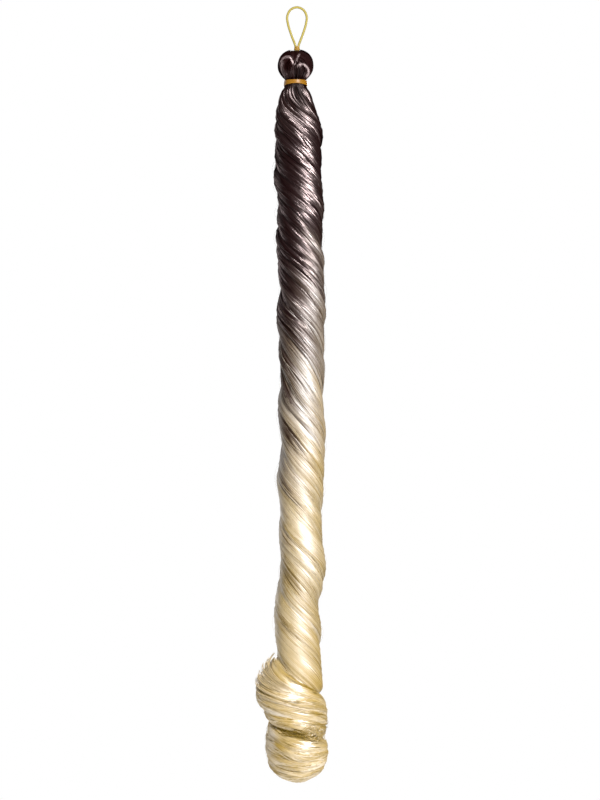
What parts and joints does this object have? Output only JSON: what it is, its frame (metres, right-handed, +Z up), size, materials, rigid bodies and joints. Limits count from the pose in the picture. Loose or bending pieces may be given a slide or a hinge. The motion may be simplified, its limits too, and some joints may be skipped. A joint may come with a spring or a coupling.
{
  "type": "spiral hair extension",
  "caption": "Long twisted hank of synthetic hair, dark brown fading to blonde, folded over an elastic hanging loop, tied below the fold and curled up at its free end.",
  "frame": {"origin": "inside of the top of the hanging loop, where the loop bears on what carries it", "axes": "+Z up along the hanging hank, front faces -Y, +X to the right seen from the front"},
  "size_m": [0.0589, 0.0514, 0.636],
  "materials": {
    "gold_elastic": "smooth yellow-gold elastic cord, slightly glossy",
    "dark_hair": "dark brown synthetic fibre, glossy along the strands",
    "amber_elastic": "amber-gold elastic band, glossy",
    "ombre_hair": "synthetic fibre, dark brown fading through taupe to blonde, glossy along the strands"
  },
  "bodies": {
    "root": {"hanging_loop": "gold_elastic", "folded_head": "dark_hair", "tie_band": "amber_elastic", "twisted_hank": "ombre_hair"}
  },
  "joints": []
}
